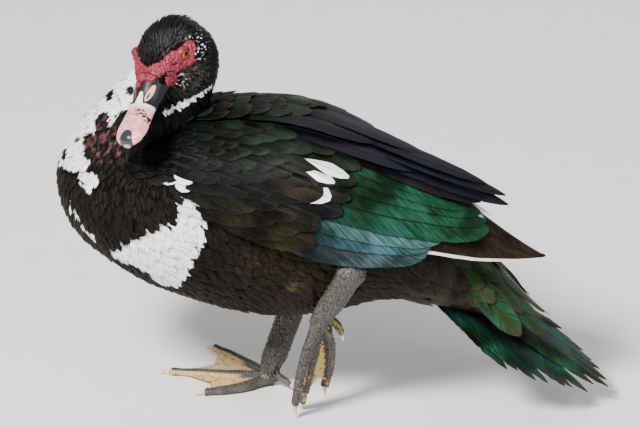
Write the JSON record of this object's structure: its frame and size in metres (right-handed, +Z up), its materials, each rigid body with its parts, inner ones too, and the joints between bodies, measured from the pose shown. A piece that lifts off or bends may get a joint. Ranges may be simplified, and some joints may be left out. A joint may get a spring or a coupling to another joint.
{
  "type": "muscovy duck",
  "caption": "Still life-size figure of a muscovy drake with folded wings, head turned to its left and one foot just lifted.",
  "frame": {"origin": "on the floor, under the middle of the bounding box", "axes": "+Z up, -X towards the breast and +X towards the tail, +Y towards the bird's right side"},
  "size_m": [0.4748, 0.1952, 0.3532],
  "materials": {
    "feathers": "soft black-brown feathers",
    "flight_feathers": "glossy green-black feathers",
    "bill": "smooth pink horn with black mottling",
    "eye": "wet and glossy",
    "leg_skin": "scaled skin",
    "claw": "smooth horn"
  },
  "bodies": {
    "root": {"head": "feathers", "eye_left": "eye", "eye_right": "eye", "neck_lower": "feathers", "neck_upper": "feathers", "bill_upper": "bill", "bill_lower": "bill", "torso": "feathers", "wing_left": "flight_feathers", "wing_right": "flight_feathers", "tail": "flight_feathers", "thigh_right": "feathers", "shank_left": "leg_skin", "foot_left": "leg_skin", "claw_left_inner": "claw", "claw_left_middle": "claw", "claw_left_outer": "claw", "claw_left_hind": "claw", "shank_right": "leg_skin", "foot_right": "leg_skin", "claw_right_inner": "claw", "claw_right_middle": "claw", "claw_right_outer": "claw", "claw_right_hind": "claw"}
  },
  "joints": []
}
